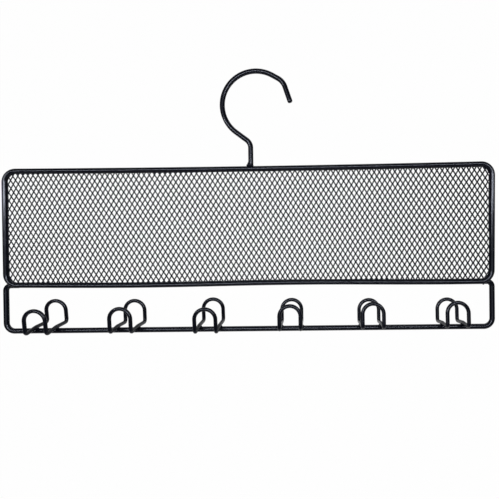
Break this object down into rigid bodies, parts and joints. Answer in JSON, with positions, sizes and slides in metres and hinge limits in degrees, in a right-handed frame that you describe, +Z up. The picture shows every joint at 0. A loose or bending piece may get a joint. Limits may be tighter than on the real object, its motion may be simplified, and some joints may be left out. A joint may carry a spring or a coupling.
{
  "type": "hanging jewelry organizer",
  "caption": "Flat wire hanger with a framed mesh panel for earrings and a lower rail carrying double wire hooks for necklaces, hung by a round hanger hook.",
  "frame": {"origin": "inside crown of the hanger hook, the point that rests on a closet rod", "axes": "+X to the right seen from the front, +Y to the back, where the mesh lies behind its frame, +Z up"},
  "size_m": [0.4002, 0.0367, 0.2119],
  "materials": {
    "wire_coat": "satin black powder coat on steel wire",
    "mesh_coat": "satin black powder coat on expanded steel mesh",
    "hook_coat": "satin black powder coat on thin steel wire",
    "weld_coat": "satin black powder coat over a weld bead"
  },
  "bodies": {
    "root": {"frame_wire": "wire_coat", "mesh_panel": "mesh_coat", "hanger_hook": "wire_coat", "hanger_hook_weld": "weld_coat", "lower_rail": "wire_coat", "rail_arm_weld_left": "weld_coat", "rail_arm_weld_right": "weld_coat", "double_hook_1": "hook_coat", "double_hook_2": "hook_coat", "double_hook_3": "hook_coat", "double_hook_4": "hook_coat", "double_hook_5": "hook_coat", "double_hook_6": "hook_coat", "double_hook_1_weld_left": "weld_coat", "double_hook_1_weld_right": "weld_coat", "double_hook_2_weld_left": "weld_coat", "double_hook_2_weld_right": "weld_coat", "double_hook_3_weld_left": "weld_coat", "double_hook_3_weld_right": "weld_coat", "double_hook_4_weld_left": "weld_coat", "double_hook_4_weld_right": "weld_coat", "double_hook_5_weld_left": "weld_coat", "double_hook_5_weld_right": "weld_coat", "double_hook_6_weld_left": "weld_coat", "double_hook_6_weld_right": "weld_coat"}
  },
  "joints": []
}
